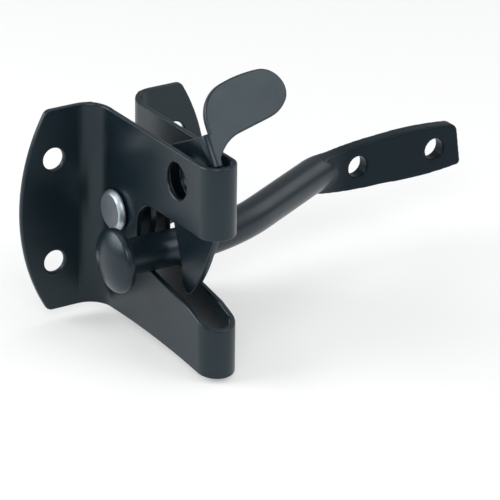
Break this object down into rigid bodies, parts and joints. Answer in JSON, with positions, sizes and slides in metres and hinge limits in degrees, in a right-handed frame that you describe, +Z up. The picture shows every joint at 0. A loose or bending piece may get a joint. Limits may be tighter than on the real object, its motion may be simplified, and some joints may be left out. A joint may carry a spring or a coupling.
{
  "type": "gate latch",
  "caption": "Gravity gate latch: folded sheet housing with a V mouth, a pivoting lever with a thumb leaf and hook, and a headed strike bar with a flat screw-on blade.",
  "frame": {"origin": "middle of the four screw holes, on the back plane of the housing's flanges", "axes": "+X along the strike bar towards the gate, +Y into the post, +Z up"},
  "size_m": [0.1801, 0.0748, 0.0983],
  "materials": {
    "black_coat": "black powder coat, semi-gloss",
    "bright_zinc": "bright zinc plate"
  },
  "bodies": {
    "housing": {"latch_housing": "black_coat", "pivot_rivet": "bright_zinc", "lever_spacer_left": "bright_zinc", "lever_spacer_right": "bright_zinc", "strike_bar": "black_coat"},
    "lever": {"thumb_lever": "black_coat"}
  },
  "joints": [
    {"name": "lever_pivot", "type": "hinge", "parent": "housing", "child": "lever", "pos_m": [0, -0.0149, 0.0015], "axis": [-1, 0, 0], "range_deg": [0, 43]}
  ]
}
